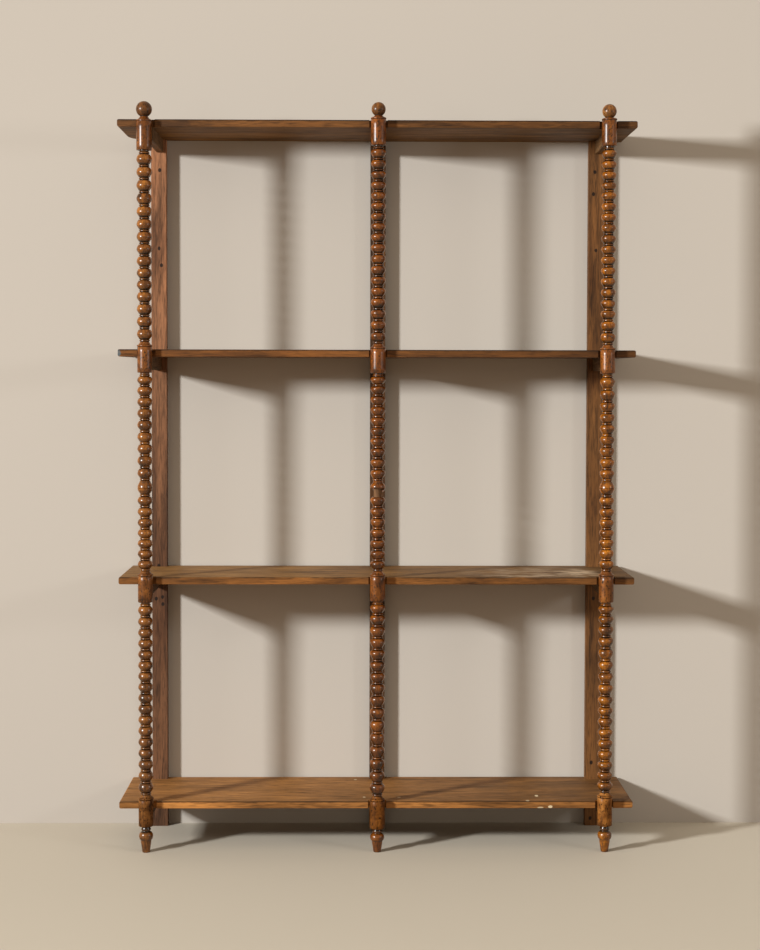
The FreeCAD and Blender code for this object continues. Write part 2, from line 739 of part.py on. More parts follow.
def add_nails(label, places):
    """All the nails of one kind, as separate solids. A place is a nail and
    where its head lies, with the turn it takes there."""
    nails = []
    for nail, x, y, z, turned in places:
        one = nail.copy()
        one.Placement = Placement(Vector(x.number, y.number, z.number), turned)
        nails.append(one)
    group = doc.addObject("Part::Feature", label)
    group.Label = label
    group.Shape = Part.makeCompound(nails)
    group.Placement = Placement()
    return group


def make_shelf_nails():
    nail = make_nail(size("shelf_nail_length"))
    places = []
    for level in levels:
        for line in lines:
            for place in nail_y:
                places.append((nail, post_x[line] + bearer_shift[line, level], post_y + place,
                               shelf_top[level] - size("nail_sink"), Rotation()))
    return add_nails("shelf_nails", places)


def make_upright_nails():
    nail = make_nail(size("upright_nail_length"))
    from_behind = Rotation(Vector(1, 0, 0), -90)
    back = upright_front + size("upright_thickness") - size("nail_sink")
    places = []
    for line in lines:
        for level in levels:
            for side in (-1, 1):
                places.append((nail, post_x[line] + bearer_shift[line, level], back,
                               bearer_middle(level) + size("upright_nail_spread") / 2 * side,
                               from_behind))
    return add_nails("upright_nails", places)


# ---- the whole bookcase ----

pieces = []
for level in levels:
    pieces.append(make_shelf(level))
for line in lines:
    pieces.append(make_upright(line))
    pieces.append(make_lower_length(line))
    pieces.append(make_upper_length(line))
    for level in levels:
        pieces.append(make_bearer(line, level))
pieces.append(make_shelf_nails())
pieces.append(make_upright_nails())
doc.recompute()

for each in doc.Objects:
    if "Invalid" in each.State or "Error" in each.State:
        raise RuntimeError(each.Label + " could not be built: " + str(each.State))
for piece in pieces:
    if piece.Shape.isNull() or not piece.Shape.isValid():
        raise RuntimeError(piece.Label + " has no valid shape")
    if piece.isDerivedFrom("PartDesign::Body") and len(piece.Shape.Solids) != 1:
        raise RuntimeError(piece.Label + " is not one solid")

os.makedirs("parts", exist_ok=True)
for piece in pieces:
    piece.Shape.exportStep(os.path.join("parts", piece.Label + ".step"))
    box = piece.Shape.BoundBox
    print(piece.Label, len(piece.Shape.Solids), "solid(s), volume", round(piece.Shape.Volume),
          "x", round(box.XMin, 1), round(box.XMax, 1), "y", round(box.YMin, 1),
          round(box.YMax, 1), "z", round(box.ZMin, 1), round(box.ZMax, 1))
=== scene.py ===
import bpy
import bmesh
import math
from mathutils import Matrix, Vector


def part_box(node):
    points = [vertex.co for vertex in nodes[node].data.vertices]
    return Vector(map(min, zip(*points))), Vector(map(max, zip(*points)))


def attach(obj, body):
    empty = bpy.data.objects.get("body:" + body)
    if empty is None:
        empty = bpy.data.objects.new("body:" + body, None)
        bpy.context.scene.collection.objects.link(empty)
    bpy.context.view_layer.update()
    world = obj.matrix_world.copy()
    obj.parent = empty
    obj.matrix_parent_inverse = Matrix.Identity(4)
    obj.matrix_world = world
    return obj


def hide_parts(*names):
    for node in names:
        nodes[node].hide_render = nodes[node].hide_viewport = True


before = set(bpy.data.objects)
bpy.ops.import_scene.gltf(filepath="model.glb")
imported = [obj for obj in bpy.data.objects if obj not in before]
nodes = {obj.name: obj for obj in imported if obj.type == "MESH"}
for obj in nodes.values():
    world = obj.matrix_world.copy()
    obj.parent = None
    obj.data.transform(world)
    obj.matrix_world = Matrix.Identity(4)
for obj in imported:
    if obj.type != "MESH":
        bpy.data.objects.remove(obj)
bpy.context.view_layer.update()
bpy.ops.object.select_all(action="DESELECT")

lineNames = ["left", "centre", "right"]
levelNames = ["bottom", "lower", "upper", "top"]
mm = 0.001


def nodeMiddle(name):
    low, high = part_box(name)
    return (low + high) / 2


postX = {line: nodeMiddle("post_" + line + "_lower").x for line in lineNames}
postY = nodeMiddle("post_left_lower").y
shelfTop = {level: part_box("shelf_" + level)[1].z for level in levelNames}
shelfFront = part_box("shelf_bottom")[0].y
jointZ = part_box("post_left_upper")[0].z
postTop = {line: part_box("post_" + line + "_upper")[1].z for line in lineNames}
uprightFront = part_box("upright_left")[0].y
print("places read from the frame")

cameraLook = {
    "place": (-0.0543, -4.9405, 1.331),
    "down": 0.03752,      # radians below level
    "right": 0.01291,     # radians to the right of straight ahead
    "roll": 0.00213,
    "lens": 65.96,
    "shiftY": -0.0383,
}


def makeCamera(look):
    down, right, roll = look["down"], look["right"], look["roll"]
    ahead = Vector((math.sin(right) * math.cos(down), math.cos(right) * math.cos(down),
                    -math.sin(down)))
    side = Vector((math.cos(right), -math.sin(right), 0))
    up = side.cross(ahead)
    rolledSide = side * math.cos(roll) + up * math.sin(roll)
    rolledUp = up * math.cos(roll) - side * math.sin(roll)
    bpy.ops.object.camera_add(location=look["place"])
    camera = bpy.context.object
    camera.name = "photoCamera"
    camera.rotation_euler = Matrix((rolledSide, rolledUp, -ahead)).transposed().to_euler()
    camera.data.lens = look["lens"]
    camera.data.sensor_width = 36
    camera.data.shift_y = look["shiftY"]
    camera.data.clip_start = 0.05
    camera.data.clip_end = 60
    bpy.context.scene.camera = camera


makeCamera(cameraLook)
print("camera set")


def startMaterial(name):
    material = bpy.data.materials.new(name)
    material.use_nodes = True
    tree = material.node_tree
    tree.nodes.clear()
    output = tree.nodes.new("ShaderNodeOutputMaterial")
    shader = tree.nodes.new("ShaderNodeBsdfPrincipled")
    tree.links.new(shader.outputs[0], output.inputs[0])
    return material, tree, shader


# object coordinates, stretched and moved
def place(tree, scale, location=(0, 0, 0)):
    source = tree.nodes.new("ShaderNodeTexCoord").outputs["Object"]
    mapping = tree.nodes.new("ShaderNodeMapping")
    mapping.inputs["Scale"].default_value = scale
    mapping.inputs["Location"].default_value = location
    tree.links.new(source, mapping.inputs[0])
    return mapping.outputs[0]


# the size of the noise is set by the stretch of its coordinates
def noise(tree, where, detail=4, rough=0.55, distortion=0.0):
    node = tree.nodes.new("ShaderNodeTexNoise")
    node.inputs["Scale"].default_value = 1.0
    node.inputs["Detail"].default_value = detail
    node.inputs["Roughness"].default_value = rough
    node.inputs["Distortion"].default_value = distortion
    tree.links.new(where, node.inputs["Vector"])
    return node.outputs["Fac"]


def ramp(tree, value, stops):
    node = tree.nodes.new("ShaderNodeValToRGB")
    elements = node.color_ramp.elements
    while len(elements) < len(stops):
        elements.new(0.5)
    for element, (position, colour) in zip(elements, stops):
        element.position = position
        element.color = (*colour, 1) if isinstance(colour, tuple) else (colour, colour, colour, 1)
    tree.links.new(value, node.inputs[0])
    return node.outputs[0]


def put(tree, socket, value):
    if isinstance(value, bpy.types.NodeSocket):
        tree.links.new(value, socket)
    elif isinstance(value, tuple):
        socket.default_value = (*value, 1) if len(value) < len(socket.default_value) else value
    else:
        socket.default_value = value


def mix(tree, share, first, second, way="MIX"):
    node = tree.nodes.new("ShaderNodeMix")
    node.data_type = "RGBA"
    node.blend_type = way
    put(tree, node.inputs[0], share)
    put(tree, node.inputs[6], first)
    put(tree, node.inputs[7], second)
    return node.outputs[2]


def calc(tree, way, first, second=0.0, clamp=False):
    node = tree.nodes.new("ShaderNodeMath")
    node.operation = way
    node.use_clamp = clamp
    put(tree, node.inputs[0], first)
    put(tree, node.inputs[1], second)
    return node.outputs[0]


def spread(tree, value, low, high, newLow=0.0, newHigh=1.0):
    node = tree.nodes.new("ShaderNodeMapRange")
    node.clamp = True
    put(tree, node.inputs[0], value)
    node.inputs[1].default_value = low
    node.inputs[2].default_value = high
    node.inputs[3].default_value = newLow
    node.inputs[4].default_value = newHigh
    return node.outputs[0]


# object coordinates, one output for each axis
def axesOf(tree):
    split = tree.nodes.new("ShaderNodeSeparateXYZ")
    tree.links.new(tree.nodes.new("ShaderNodeTexCoord").outputs["Object"], split.inputs[0])
    return split.outputs


# 1 on a surface that faces up, -1 on one that faces down
def facingUp(tree):
    split = tree.nodes.new("ShaderNodeSeparateXYZ")
    tree.links.new(tree.nodes.new("ShaderNodeNewGeometry").outputs["Normal"], split.inputs[0])
    return split.outputs["Z"]


# 1 at the middle of an ellipsoid, 0 from its surface outwards
def patch(tree, middle, reach):
    scale = tuple(1 / r for r in reach)
    where = place(tree, scale, tuple(-m * s for m, s in zip(middle, scale)))
    length = tree.nodes.new("ShaderNodeVectorMath")
    length.operation = "LENGTH"
    tree.links.new(where, length.inputs[0])
    return calc(tree, "SUBTRACT", 1.0, length.outputs["Value"], clamp=True)


def bump(tree, shader, height, strength, distance):
    node = tree.nodes.new("ShaderNodeBump")
    node.inputs["Strength"].default_value = strength
    node.inputs["Distance"].default_value = distance
    tree.links.new(height, node.inputs["Height"])
    tree.links.new(node.outputs[0], shader.inputs["Normal"])


# a colour given as it looks on screen, 0 to 255
def srgb(red, green, blue):
    shares = (red / 255, green / 255, blue / 255)
    return tuple(c / 12.92 if c <= 0.04045 else ((c + 0.055) / 1.055) ** 2.4 for c in shares)


turnedLook = {
    # the dark used for pits, fibres, grime and painted shade
    "grimeAndShade": srgb(12, 7, 4),
    "shade": srgb(62, 34, 8),
    "body": srgb(122, 74, 18),
    "amber": srgb(172, 112, 30),
    "roughness": 0.44,
    "specular": 0.14,
    "coat": 1.0,
    "coatTint": srgb(255, 224, 160),
    "coatRoughness": 0.25,
    "streak": 0.8,
    "pits": 0.4,
    "rings": 0.7,
    "fade": (1.5, 0.1, 0.72),                 # darker from a height down to another, to a share
    "grimeAndShadeReach": (0.038, 0.066),             # the mesh's colour where grime and painted shade are full, where they end
    "grimeAndShadeShare": 0.92,
    "neckGrimeAndShade": 0.9,                         # grime and painted shade between the beads, close in to the post's axis
    "neckReach": (14.8 * mm, 17.6 * mm),      # from the axis, where it is full and where it ends
    "neckStart": (0.051, 0.058),              # it starts at these heights, over the foot's round
    "neckLow": 0.5,                           # less of it from the foot to the upper shelf
    "footEnd": (0.16, 0.22),
    "lowEnd": (1.34, 1.42),
    "ringLighter": (0.078, 0.1, 0.45),          # less of it on the rings between the beads, down to a share
    "paintedShade": 0.55,                        # painted shade: darker where a surface faces down
    "paintedShadeReach": (-0.7, 0.3),
    "coatRise": (0.15, 1.0),
    "bumpDepth": 0.5 * mm,
}
plainLook = {
    **turnedLook,
    "grimeAndShade": srgb(26, 14, 6),
    "shade": srgb(72, 40, 12),
    "body": srgb(132, 84, 40),
    "amber": srgb(174, 118, 62),
    "roughness": 0.42,
    "specular": 0.08,
    "coat": 0.85,
    "coatLow": 0.06,                          # worn off towards the floor
    "coatRoughness": 0.28,
    "streak": 0.6,
    "pits": 0.95,
    "rings": 0.15,
    "fade": (1.7, 0.1, 0.76),
    "neckGrimeAndShade": 0,
}
ballLook = {
    **plainLook,
    "shade": srgb(50, 30, 12),
    "body": srgb(98, 64, 28),
    "amber": srgb(132, 88, 46),
    "roughness": 0.55,
    "specular": 0.2,
    "coat": 0.6,
}


# darker from a start to an end along one axis
def fadeAlong(tree, base, along, fade):
    start, end, share = fade
    shade = spread(tree, axesOf(tree)[along], start, end, 1.0, share)
    return mix(tree, 1.0, base, shade, "MULTIPLY")


def squared(tree, value, middle):
    distance = calc(tree, "ABSOLUTE", calc(tree, "SUBTRACT", value, middle))
    return calc(tree, "POWER", distance, 2)


# grime and painted shade in the necks between the beads, less on the rings and low on the post
def shadeAndGrimeNecks(tree, look, axisX, depth):
    where = axesOf(tree)
    across, inward = squared(tree, where[0], axisX), squared(tree, where[1], postY)
    radius = calc(tree, "SQRT", calc(tree, "ADD", across, inward))
    neck = spread(tree, radius, *look["neckReach"], look["neckGrimeAndShade"], 0.0)
    neck = calc(tree, "MULTIPLY", neck, spread(tree, where[2], *look["neckStart"]))
    foot = spread(tree, where[2], *look["footEnd"], 1.0, look["neckLow"])
    top = spread(tree, where[2], *look["lowEnd"], look["neckLow"], 1.0)
    neck = calc(tree, "MULTIPLY", neck, calc(tree, "MAXIMUM", foot, top))
    low, high, share = look["ringLighter"]
    return calc(tree, "MULTIPLY", neck, spread(tree, depth, low, high, 1.0, share))


# old varnish, dark with grime and painted shade where two shapes meet
def makeTurnedWood(name, look, axisX, seed=0.0):
    material, tree, shader = startMaterial(name)
    shift = (seed, seed * 0.6, seed * 1.7)
    grain = noise(tree, place(tree, (230, 230, 14), shift), 5, 0.6, 0.4)
    fibre = noise(tree, place(tree, (900, 900, 60), shift), 3, 0.6)
    mottle = noise(tree, place(tree, (46, 46, 30), shift), 4, 0.6, 0.6)
    blotch = noise(tree, place(tree, (11, 11, 7), shift), 3, 0.5, 0.3)
    speck = noise(tree, place(tree, (300, 300, 150), shift), 2, 0.5)
    rings = noise(tree, place(tree, (14, 14, 560), shift), 3, 0.6)

    base = ramp(tree, mottle, [(0.30, look["shade"]), (0.48, look["body"]), (0.70, look["amber"])])
    streak = ramp(tree, grain, [(0.34, 0.3), (0.48, 0.85), (0.6, 1.0)])
    base = mix(tree, look["streak"], base, streak, "MULTIPLY")
    base = mix(tree, spread(tree, blotch, 0.5, 0.74, 0.0, 0.45), base, look["shade"])
    turned = ramp(tree, rings, [(0.36, 0.22), (0.46, 0.85), (0.55, 1.0)])
    base = mix(tree, look["rings"], base, turned, "MULTIPLY")
    base = mix(tree, spread(tree, fibre, 0.30, 0.42, 0.6, 0.0), base, look["grimeAndShade"])
    base = mix(tree, spread(tree, speck, 0.36, 0.43, look["pits"], 0.0), base, look["grimeAndShade"])

    # grime and painted shade where shapes meet, read from the mesh's colour
    grimeAndShade = tree.nodes.new("ShaderNodeVertexColor")
    grimeAndShade.layer_name = "grimeAndShade"
    wobble = calc(tree, "MULTIPLY", calc(tree, "SUBTRACT", mottle, 0.5), 0.008)
    depth = calc(tree, "ADD", grimeAndShade.outputs["Color"], wobble)
    shadeAndGrime = spread(tree, depth, *look["grimeAndShadeReach"], look["grimeAndShadeShare"], 0.0)
    # grime and painted shade in the necks
    if look["neckGrimeAndShade"]:
        shadeAndGrime = calc(tree, "MAXIMUM", shadeAndGrime, shadeAndGrimeNecks(tree, look, axisX, depth))
    base = fadeAlong(tree, mix(tree, shadeAndGrime, base, look["grimeAndShade"]), 2, look["fade"])
    # painted shade on surfaces that face down
    shadow = spread(tree, facingUp(tree), *look["paintedShadeReach"], look["paintedShade"], 1.0)
    tree.links.new(mix(tree, 1.0, base, shadow, "MULTIPLY"), shader.inputs["Base Color"])

    polish = spread(tree, mottle, 0.3, 0.75, look["roughness"] + 0.12, look["roughness"] - 0.04)
    dulled = calc(tree, "ADD", polish, calc(tree, "MULTIPLY", shadeAndGrime, 0.35), clamp=True)
    tree.links.new(dulled, shader.inputs["Roughness"])
    shader.inputs["Specular IOR Level"].default_value = look["specular"]
    if "coatLow" in look:
        coat = spread(tree, axesOf(tree)[2], *look["coatRise"], look["coatLow"], look["coat"])
        tree.links.new(coat, shader.inputs["Coat Weight"])
    else:
        shader.inputs["Coat Weight"].default_value = look["coat"]
    shader.inputs["Coat Tint"].default_value = (*look["coatTint"], 1)
    shader.inputs["Coat Roughness"].default_value = look["coatRoughness"]
    height = calc(tree, "ADD", grain, calc(tree, "MULTIPLY", fibre, 0.5))
    height = calc(tree, "ADD", height, calc(tree, "MULTIPLY", speck, look["pits"]))
    bump(tree, shader, height, 0.35, look["bumpDepth"])
    return material


# waxed, worn softwood with its grain along one axis
def makePlankWood(name, along, look, seed=0.0, marks=()):
    material, tree, shader = startMaterial(name)

    def stretched(across, down):
        scale = [across, across, across]
        scale[along] = down
        return place(tree, tuple(scale), (seed, seed * 0.7, seed * 1.3))

    broad = noise(tree, stretched(20, 2.6), 5, 0.6, 0.9)
    figure = noise(tree, stretched(100, 7), 5, 0.65, 0.9)
    fine = noise(tree, stretched(420, 26), 4, 0.6)
    stain = noise(tree, stretched(6, 2.6), 4, 0.6, 0.4)

    def shades(colour, share=1.0):
        dark = tuple(c * (1 - (1 - look["dark"]) * share) for c in colour)
        light = tuple(c * (1 + (look["light"] - 1) * share) for c in colour)
        return ramp(tree, broad, [(0.32, dark), (0.50, colour), (0.68, light)])

    base = shades(look["body"])
    if "top" in look:
        facing = facingUp(tree)
        base = mix(tree, spread(tree, facing, 0.55, 0.95), base, shades(look["top"], 0.65))
        base = mix(tree, spread(tree, facing, -0.55, -0.95), base, shades(look["under"]))
    lines = ramp(tree, figure, [(0.34, 0.36), (0.46, 0.8), (0.58, 1.0)])
    base = mix(tree, look["grain"], base, lines, "MULTIPLY")
    threads = ramp(tree, fine, [(0.36, 0.3), (0.48, 0.85), (0.6, 1.0)])
    base = mix(tree, 0.75, base, threads, "MULTIPLY")
    stained = mix(tree, 1.0, base, look["stain"], "MULTIPLY")
    base = mix(tree, spread(tree, stain, 0.48, 0.74, 0.0, 0.6), base, stained)
    if "fade" in look:
        base = fadeAlong(tree, base, along, look["fade"])
    if marks:
        wear = noise(tree, stretched(*look["wearScale"]), 3, 0.6)
        ragged = spread(tree, wear, 0.35, 0.65, 1 - look["ragged"], 1 + look["ragged"])
    for spot, reach, colour, share in marks:
        edge = calc(tree, "MULTIPLY", patch(tree, spot, reach), ragged)
        base = mix(tree, spread(tree, edge, 0.2, look["markEdge"], 0.0, share), base, colour)
    tree.links.new(base, shader.inputs["Base Color"])
    dullness = spread(tree, figure, 0.3, 0.7, look["dullness"] + 0.14, look["dullness"] - 0.06)
    tree.links.new(dullness, shader.inputs["Roughness"])
    shader.inputs["Specular IOR Level"].default_value = 0.25
    height = calc(tree, "ADD", figure, calc(tree, "MULTIPLY", fine, 0.6))
    bump(tree, shader, height, 0.35, 0.3 * mm)
    return material


nailLook = {
    "shade": srgb(34, 28, 24),
    "rust": srgb(80, 52, 36),
    "rustScale": (500, 500, 500),
    "metal": 0.7,
}


def makeNailIron(look):
    material, tree, shader = startMaterial("nailIron")
    rust = noise(tree, place(tree, look["rustScale"]), 4)
    base = ramp(tree, rust, [(0.35, look["shade"]), (0.65, look["rust"])])
    tree.links.new(base, shader.inputs["Base Color"])
    tree.links.new(spread(tree, rust, 0.3, 0.7, 0.45, 0.8), shader.inputs["Roughness"])
    shader.inputs["Metallic"].default_value = look["metal"]
    bump(tree, shader, rust, 0.3, 0.2 * mm)
    return material


# gives a CAD piece a material and leaves its shape alone
def dress(name, material):
    node = nodes[name]
    for index in range(len(node.data.materials)):
        node.data.materials[index] = material
    if not node.data.materials:
        node.data.materials.append(material)


nailIron = makeNailIron(nailLook)
dress("shelf_nails", nailIron)
dress("upright_nails", nailIron)
print("nails dressed")

# sizes that all three posts share; profiles are in millimetres
turning = {
    "segments": 44,
    "neck": 13.0 * mm,
    "longNeck": 4 * mm,
    "reelHeight": 7 * mm,
    # radius and height over the bead: the V groove and the small ring
    "reelProfile": [(11.9, 0.8), (13.0, 1.5), (14.6, 2.6), (14.6, 4.4), (13.8, 5.8), (12.4, 6.5),
                    (13.0, 7.0)],
    "beadFoot": 14.0 * mm,
    "beadEdge": 15.2 * mm,
    "beadTop": 13.2 * mm,
    "arris": 1.5 * mm,
    "ring": 21.4 * mm,
    "ringHeight": 5 * mm,
    # how far in, and height over the plain length: from the plain radius, then from the ring's
    "underRing": [(0.0, -1.6), (1.1, -0.6), (1.0, 0.0)],
    "ringProfile": [(1.2, 0.4), (0.2, 1.4), (0.0, 2.5), (0.3, 3.8), (1.4, 4.7), (4.2, 5.0),
                    (4.0, 5.6)],
    "ringIn": 4.0 * mm,
    "flare": 8 * mm,
    "ballNeck": 11 * mm,
    "ballSteps": 18,
    "ballEnd": 0.985 * math.pi,
    "underJoint": 17 * mm,
    "overJoint": 20 * mm,
}


def pickOnly(piece):
    bpy.ops.object.select_all(action="DESELECT")
    piece.select_set(True)
    bpy.context.view_layer.objects.active = piece


# a disc drawn up through stations of (radius, height), as on a lathe
def turn(name, x, stations, material):
    radius, height = stations[0]
    bpy.ops.mesh.primitive_circle_add(vertices=turning["segments"], radius=radius,
                                      fill_type="NGON", location=(x, postY, height))
    piece = bpy.context.object
    piece.name = name
    piece.data.materials.append(material)
    bpy.ops.object.mode_set(mode="EDIT")
    bpy.ops.mesh.select_all(action="SELECT")
    for nextRadius, nextHeight in stations[1:]:
        rise = (0, 0, nextHeight - height)
        bpy.ops.mesh.extrude_region_move(TRANSFORM_OT_translate={"value": rise})
        share = nextRadius / radius
        bpy.ops.transform.resize(value=(share, share, 1), center_override=(x, postY, nextHeight))
        radius, height = nextRadius, nextHeight
    bpy.ops.object.mode_set(mode="OBJECT")
    bpy.ops.object.transform_apply(location=True, rotation=True, scale=True)
    return piece


# takes the flat discs off a turned piece's ends, where the next piece goes on
def openEnds(piece, low=True, high=True):
    near = 0.001 * mm
    pickOnly(piece)
    bpy.ops.object.mode_set(mode="EDIT")
    bpy.ops.mesh.select_mode(type="FACE")
    bpy.ops.mesh.select_all(action="DESELECT")
    mesh = bmesh.from_edit_mesh(piece.data)
    heights = [vertex.co.z for vertex in mesh.verts]
    for face in mesh.faces:
        middle = face.calc_center_median().z
        if len(face.verts) > 4:
            isLow = middle < min(heights) + near
            isHigh = middle > max(heights) - near
            face.select = (isLow and low) or (isHigh and high)
    bmesh.update_edit_mesh(piece.data)
    bpy.ops.mesh.delete(type="ONLY_FACE")
    bpy.ops.object.mode_set(mode="OBJECT")
    return piece


# the groove and the ring over a bead
def reelStations(low):
    return [(radius * mm, low + height * mm) for radius, height in turning["reelProfile"]]


# a bead that widens slowly to its crown and turns in sharply above it
def beadStations(low, height, radius, crown):
    foot, edge = turning["beadFoot"], turning["beadEdge"]
    stations = [(turning["neck"], low), (foot, low + 0.5 * mm)]
    for share in (0.12, 0.25, 0.4, 0.55, 0.7, 0.85):
        swell = 0.7 * math.sin(math.pi / 2 * share) + 0.3 * (1 - math.cos(math.pi * share)) / 2
        stations.append((foot + (radius - foot) * swell, low + height * crown * share))
    stations.append((radius, low + height * crown))
    for share in (0.25, 0.5, 0.72, 0.88, 0.97):
        swell = math.cos(math.pi / 2 * share) ** 0.8
        up = low + height * (crown + (1 - crown) * share)
        stations.append((edge + (radius - edge) * swell, up))
    stations.append((turning["beadTop"], low + height))
    return stations


# one bead with the groove and ring over it, standing on the floor
def makeUnit(x, pitch, radius, crown, material):
    height = pitch - turning["reelHeight"]
    stations = beadStations(0, height, radius, crown) + reelStations(height)
    return openEnds(turn("beadUnit", x, stations, material))


def copyUnit(unit, low, stretch):
    pickOnly(unit)
    bpy.ops.object.duplicate(linked=False)
    bpy.ops.transform.resize(value=(1, 1, stretch), center_override=(0, 0, 0))
    bpy.ops.transform.translate(value=(0, 0, low))
    bpy.ops.object.transform_apply(location=True, rotation=True, scale=True)
    return bpy.context.object


# beads from low to high, spaced by steps that are shared out to fill the run
def beadRun(x, low, high, steps, radius, crown, material):
    pitch = (high - low) / len(steps)
    unit = makeUnit(x, pitch, radius, crown, material)
    made = []
    here = low
    for step in steps:
        length = step / sum(steps) * (high - low)
        made.append(copyUnit(unit, here, length / pitch))
        here += length
    bpy.data.objects.remove(unit)
    return made


# a plain length under its ring and slope; top is where the ring starts
def plainStations(top, length, radius, flare, endRadius):
    low = top - length
    arris = turning["arris"]
    ringTop = top + turning["ringHeight"]
    stations = [(turning["neck"], low), (radius - arris * 1.4, low + 0.05 * mm),
                (radius - arris * 0.4, low + 0.5 * arris), (radius, low + arris)]
    stations += [(radius, low + length * share) for share in (0.2, 0.4, 0.6, 0.8)]
    stations += [(radius - inset * mm, top + rise * mm) for inset, rise in turning["underRing"]]
    ring = turning["ring"]
    stations += [(ring - inset * mm, top + rise * mm) for inset, rise in turning["ringProfile"]]
    slope = ring - turning["ringIn"]
    for share in (0.25, 0.5, 0.75, 1):
        drop = (slope - endRadius) * share ** 0.8
        stations.append((slope - drop, ringTop + flare * share))
    return stations


def trimAbove(piece, height):
    pickOnly(piece)
    bpy.ops.object.mode_set(mode="EDIT")
    bpy.ops.mesh.select_all(action="SELECT")
    bpy.ops.mesh.bisect(plane_co=(0, 0, height), plane_no=(0, 0, 1), clear_outer=True,
                        use_fill=True)
    bpy.ops.object.mode_set(mode="OBJECT")


chipLook = {
    # in millimetres: radius, and depth under the joint; then how far in from the bead's radius
    "profile": [(12, 11), (15.5, 9.5), (18.8, 6)],
    "shoulder": [(0.6, 2.5), (0.2, 0.2)],
    "cut": 6 * mm,        # how far right of the post's axis it breaks off
    "slant": (-0.6, -0.8, 0.15),
}


# what still holds on behind the core and to its right
def makeChip(x, radius, material, look):
    stations = [(out * mm, jointZ - down * mm) for out, down in look["profile"]]
    stations += [(radius - inset * mm, jointZ - down * mm) for inset, down in look["shoulder"]]
    chip = turn("chip", x, stations, material)
    bpy.ops.object.mode_set(mode="EDIT")
    bpy.ops.mesh.select_all(action="SELECT")
    bpy.ops.mesh.bisect(plane_co=(x + look["cut"], postY, jointZ), plane_no=look["slant"],
                        clear_outer=True, use_fill=True)
    bpy.ops.object.mode_set(mode="OBJECT")
    return chip


# welds the parts of one length into a piece; extras are joined but stay separate shells
def joinPost(name, parts, replaced, extras=()):
    bpy.ops.object.select_all(action="DESELECT")
    for part in parts:
        part.select_set(True)
    bpy.context.view_layer.objects.active = parts[0]
    bpy.ops.object.join()
    post = bpy.context.object
    post.name = name
    bpy.ops.object.mode_set(mode="EDIT")
    bpy.ops.mesh.select_all(action="SELECT")
    bpy.ops.mesh.remove_doubles(threshold=0.00002)
    bpy.ops.mesh.normals_make_consistent(inside=False)
    bpy.ops.object.mode_set(mode="OBJECT")
    bpy.ops.object.shade_smooth_by_angle(angle=math.radians(50))
    addGrimeAndShade(post, True)
    for extra in extras:
        addGrimeAndShade(extra, False)
        bpy.ops.object.shade_smooth_by_angle(angle=math.radians(30))
        post.select_set(True)
        bpy.context.view_layer.objects.active = post
        bpy.ops.object.join()
    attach(post, "root")
    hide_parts(replaced)


# grime and painted shade where two shapes meet, kept as a colour on the mesh
def addGrimeAndShade(piece, gathers):
    pickOnly(piece)
    # 1 is clean, and the tool darkens it with grime and painted shade; 0.05 is a little of both all
    # over
    start = 1 if gathers else 0.05
    bpy.ops.geometry.color_attribute_add(name="grimeAndShade", domain="POINT",
                                         color=(start, start, start, 1))
    if gathers:
        bpy.ops.object.mode_set(mode="VERTEX_PAINT")
        bpy.ops.paint.vertex_color_dirt(blur_strength=0.5, blur_iterations=0, clean_angle=math.pi,
                                         dirt_angle=0, normalize=False)
        bpy.ops.object.mode_set(mode="OBJECT")


# a plain length stands beside each shelf: how far it reaches over the shelf's top face, and its
# height. Steps are the spacing of the beads, from the lowest up.
postLook = {
    "left": {
        "rise": {"bottom": 9, "lower": 5.5, "upper": 7, "top": -8},
        "length": {"bottom": 75, "lower": 74, "upper": 72, "top": 79},
        "plain": 20.4, "topPlain": 21.2, "ball": 21.9, "topFlare": 8, "crown": 0.5,
        "lowerBead": 20.5, "middleBead": 20.8, "upperBead": 21.2,
        "lower": [32, 32, 31, 31, 31, 31, 30, 30, 30, 30, 30, 30, 30, 30, 30, 31, 31],
        "under": [29, 29, 29, 29, 30, 31, 31],
        "over": [34, 34, 33, 33, 33, 32, 31, 31, 28],
        "upper": [34, 34, 34, 33, 32, 32, 33, 33, 34, 34, 35, 36, 36, 35, 35],
    },
    "centre": {
        "rise": {"bottom": 5, "lower": 5.5, "upper": 3, "top": 0},
        "length": {"bottom": 78, "lower": 70, "upper": 68, "top": 71},
        "plain": 20.9, "topPlain": 20.9, "ball": 19.5, "topFlare": 5, "crown": 0.63,
        "lowerBead": 21.0, "middleBead": 20.8, "upperBead": 20.8,
        "lower": [34, 34, 35, 36, 36, 36, 35, 34, 33, 31, 32, 32, 32, 33, 32, 29],
        "under": [28, 29, 30, 30, 30, 30, 31],
        "over": [31, 31, 30, 29, 29, 29, 30, 30, 28, 26],
        "upper": [31, 31, 31, 31, 30, 29, 30, 30, 30, 29, 28, 28, 28, 29, 29, 29, 30, 30],
    },
    "right": {
        "rise": {"bottom": 14, "lower": 5.5, "upper": 1, "top": -0.5},
        "length": {"bottom": 80, "lower": 73, "upper": 66, "top": 71},
        "plain": 20.4, "topPlain": 20.4, "ball": 19.75, "topFlare": 3, "crown": 0.6,
        "lowerBead": 21.1, "middleBead": 20.6, "upperBead": 20.6,
        "lower": [29, 29, 30, 31, 31, 31, 31, 30, 31, 34, 33, 33, 34, 33, 31, 29, 28],
        "under": [30, 30, 28, 27, 29, 31, 31],
        "over": [31, 31, 32, 31, 31, 31, 32, 34, 35],
        "upper": [33, 31, 29, 29, 30, 29, 29, 29, 29, 29, 29, 29, 29, 28, 27, 29, 29, 29],
    },
}

